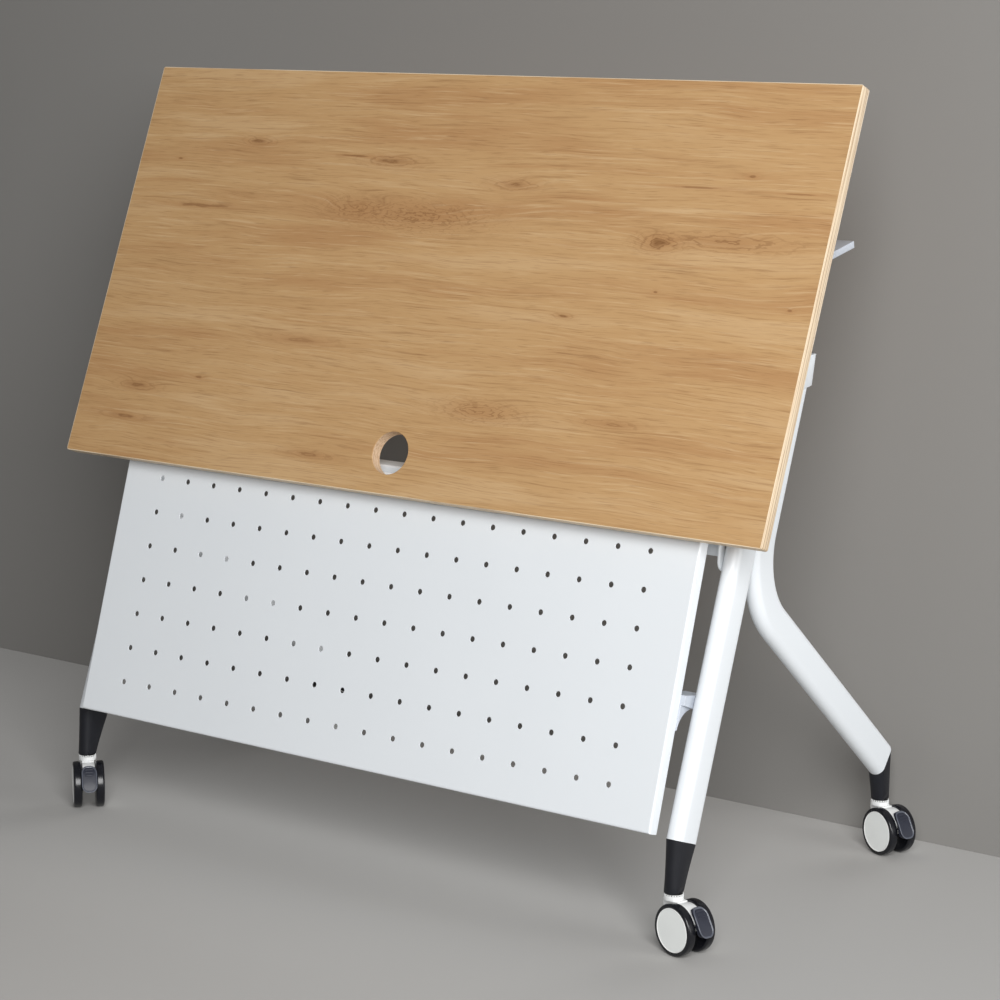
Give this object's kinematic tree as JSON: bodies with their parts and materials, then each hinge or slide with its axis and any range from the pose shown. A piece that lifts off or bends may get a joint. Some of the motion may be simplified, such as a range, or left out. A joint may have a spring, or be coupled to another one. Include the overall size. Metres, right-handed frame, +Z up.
{
  "type": "flip top training table",
  "caption": "Training table with an oak top that flips up for nesting on cast pivot heads, bent oval steel legs, a perforated modesty panel and braked twin-wheel casters.",
  "frame": {"origin": "on the floor, midway between the four caster stems", "axes": "+X along the table, -Y to the audience side that the panel faces, +Z up"},
  "size_m": [1.2, 0.6394, 1.0745],
  "materials": {
    "oak_laminate": "matte",
    "ply_edge": "matte",
    "white_powder_coat": "satin",
    "white_plastic": "satin",
    "black_plastic": "satin",
    "tread": "satin",
    "steel": "bright"
  },
  "bodies": {
    "frame": {"crossbeam": "white_powder_coat", "modesty_panel": "white_powder_coat", "main_tube_left": "white_powder_coat", "front_tube_left": "white_powder_coat", "pivot_head_left": "white_powder_coat", "panel_strap_left": "white_powder_coat", "panel_corbel_left": "white_powder_coat", "front_foot_left": "black_plastic", "rear_foot_left": "black_plastic", "main_tube_right": "white_powder_coat", "front_tube_right": "white_powder_coat", "pivot_head_right": "white_powder_coat", "panel_strap_right": "white_powder_coat", "panel_corbel_right": "white_powder_coat", "front_foot_right": "black_plastic", "rear_foot_right": "black_plastic", "caster_stem_front_right": "steel", "caster_stem_rear_right": "steel", "caster_stem_front_left": "steel", "caster_stem_rear_left": "steel"},
    "top": {"tabletop": "oak_laminate", "edge_band": "ply_edge", "top_bracket_left": "white_powder_coat", "pivot_pin_left": "steel", "lever_pin_left": "steel", "top_bracket_right": "white_powder_coat", "pivot_pin_right": "steel", "lever_pin_right": "steel"},
    "lever_left": {"lock_lever_left": "white_plastic"},
    "lever_right": {"lock_lever_right": "white_plastic"},
    "caster_front_right": {"caster_fork_front_right": "white_plastic", "caster_axle_front_right": "steel"},
    "brake_front_right": {"brake_pedal_front_right": "black_plastic"},
    "wheel_a_front_right": {"wheel_a_front_right": "tread", "disc_a_front_right": "white_plastic"},
    "wheel_b_front_right": {"wheel_b_front_right": "tread", "disc_b_front_right": "white_plastic"},
    "caster_rear_right": {"caster_fork_rear_right": "white_plastic", "caster_axle_rear_right": "steel"},
    "brake_rear_right": {"brake_pedal_rear_right": "black_plastic"},
    "wheel_a_rear_right": {"wheel_a_rear_right": "tread", "disc_a_rear_right": "white_plastic"},
    "wheel_b_rear_right": {"wheel_b_rear_right": "tread", "disc_b_rear_right": "white_plastic"},
    "caster_front_left": {"caster_fork_front_left": "white_plastic", "caster_axle_front_left": "steel"},
    "brake_front_left": {"brake_pedal_front_left": "black_plastic"},
    "wheel_a_front_left": {"wheel_a_front_left": "tread", "disc_a_front_left": "white_plastic"},
    "wheel_b_front_left": {"wheel_b_front_left": "tread", "disc_b_front_left": "white_plastic"},
    "caster_rear_left": {"caster_fork_rear_left": "white_plastic", "caster_axle_rear_left": "steel"},
    "brake_rear_left": {"brake_pedal_rear_left": "black_plastic"},
    "wheel_a_rear_left": {"wheel_a_rear_left": "tread", "disc_a_rear_left": "white_plastic"},
    "wheel_b_rear_left": {"wheel_b_rear_left": "tread", "disc_b_rear_left": "white_plastic"}
  },
  "joints": [
    {"name": "top_flip", "type": "hinge", "parent": "frame", "child": "top", "pos_m": [0, -0.0874, 0.6925], "axis": [-1, 0, 0], "range_deg": [0, 68.8]},
    {"name": "lever_left_lock", "type": "hinge", "parent": "top", "child": "lever_left", "pos_m": [-0.5415, -0.06898, 0.82157], "axis": [-1, 0, 0], "range_deg": [0, 20]},
    {"name": "lever_right_lock", "type": "hinge", "parent": "top", "child": "lever_right", "pos_m": [0.5415, -0.06898, 0.82157], "axis": [-1, 0, 0], "range_deg": [0, 20]},
    {"name": "swivel_front_right", "type": "hinge", "parent": "frame", "child": "caster_front_right", "pos_m": [0.517, -0.2666, 0.065], "axis": [0, 0, 1], "continuous": true},
    {"name": "brake_front_right_press", "type": "hinge", "parent": "caster_front_right", "child": "brake_front_right", "pos_m": [0.55401, -0.27721, 0.0445], "axis": [0.2756, 0.9613, 0], "range_deg": [0, 8]},
    {"name": "wheel_a_front_right_spin", "type": "hinge", "parent": "caster_front_right", "child": "wheel_a_front_right", "pos_m": [0.53863, -0.2728, 0.0335], "axis": [0.2756, 0.9613, 0], "continuous": true},
    {"name": "wheel_b_front_right_spin", "type": "hinge", "parent": "caster_front_right", "child": "wheel_b_front_right", "pos_m": [0.53863, -0.2728, 0.0335], "axis": [0.2756, 0.9613, 0], "continuous": true},
    {"name": "swivel_rear_right", "type": "hinge", "parent": "frame", "child": "caster_rear_right", "pos_m": [0.517, 0.2666, 0.065], "axis": [0, 0, 1], "continuous": true},
    {"name": "brake_rear_right_press", "type": "hinge", "parent": "caster_rear_right", "child": "brake_rear_right", "pos_m": [0.55244, 0.25156, 0.0445], "axis": [0.3907, 0.9205, 0], "range_deg": [0, 8]},
    {"name": "wheel_a_rear_right_spin", "type": "hinge", "parent": "caster_rear_right", "child": "wheel_a_rear_right", "pos_m": [0.53771, 0.25781, 0.0335], "axis": [0.3907, 0.9205, 0], "continuous": true},
    {"name": "wheel_b_rear_right_spin", "type": "hinge", "parent": "caster_rear_right", "child": "wheel_b_rear_right", "pos_m": [0.53771, 0.25781, 0.0335], "axis": [0.3907, 0.9205, 0], "continuous": true},
    {"name": "swivel_front_left", "type": "hinge", "parent": "frame", "child": "caster_front_left", "pos_m": [-0.517, -0.2666, 0.065], "axis": [0, 0, 1], "continuous": true},
    {"name": "brake_front_left_press", "type": "hinge", "parent": "caster_front_left", "child": "brake_front_left", "pos_m": [-0.48839, -0.29236, 0.0445], "axis": [0.6691, 0.7431, 0], "range_deg": [0, 8]},
    {"name": "wheel_a_front_left_spin", "type": "hinge", "parent": "caster_front_left", "child": "wheel_a_front_left", "pos_m": [-0.50028, -0.28165, 0.0335], "axis": [0.6691, 0.7431, 0], "continuous": true},
    {"name": "wheel_b_front_left_spin", "type": "hinge", "parent": "caster_front_left", "child": "wheel_b_front_left", "pos_m": [-0.50028, -0.28165, 0.0335], "axis": [0.6691, 0.7431, 0], "continuous": true},
    {"name": "swivel_rear_left", "type": "hinge", "parent": "frame", "child": "caster_rear_left", "pos_m": [-0.517, 0.2666, 0.065], "axis": [0, 0, 1], "continuous": true},
    {"name": "brake_rear_left_press", "type": "hinge", "parent": "caster_rear_left", "child": "brake_rear_left", "pos_m": [-0.48978, 0.29382, 0.0445], "axis": [-0.7071, 0.7071, 0], "range_deg": [0, 8]},
    {"name": "wheel_a_rear_left_spin", "type": "hinge", "parent": "caster_rear_left", "child": "wheel_a_rear_left", "pos_m": [-0.50109, 0.28251, 0.0335], "axis": [-0.7071, 0.7071, 0], "continuous": true},
    {"name": "wheel_b_rear_left_spin", "type": "hinge", "parent": "caster_rear_left", "child": "wheel_b_rear_left", "pos_m": [-0.50109, 0.28251, 0.0335], "axis": [-0.7071, 0.7071, 0], "continuous": true}
  ]
}
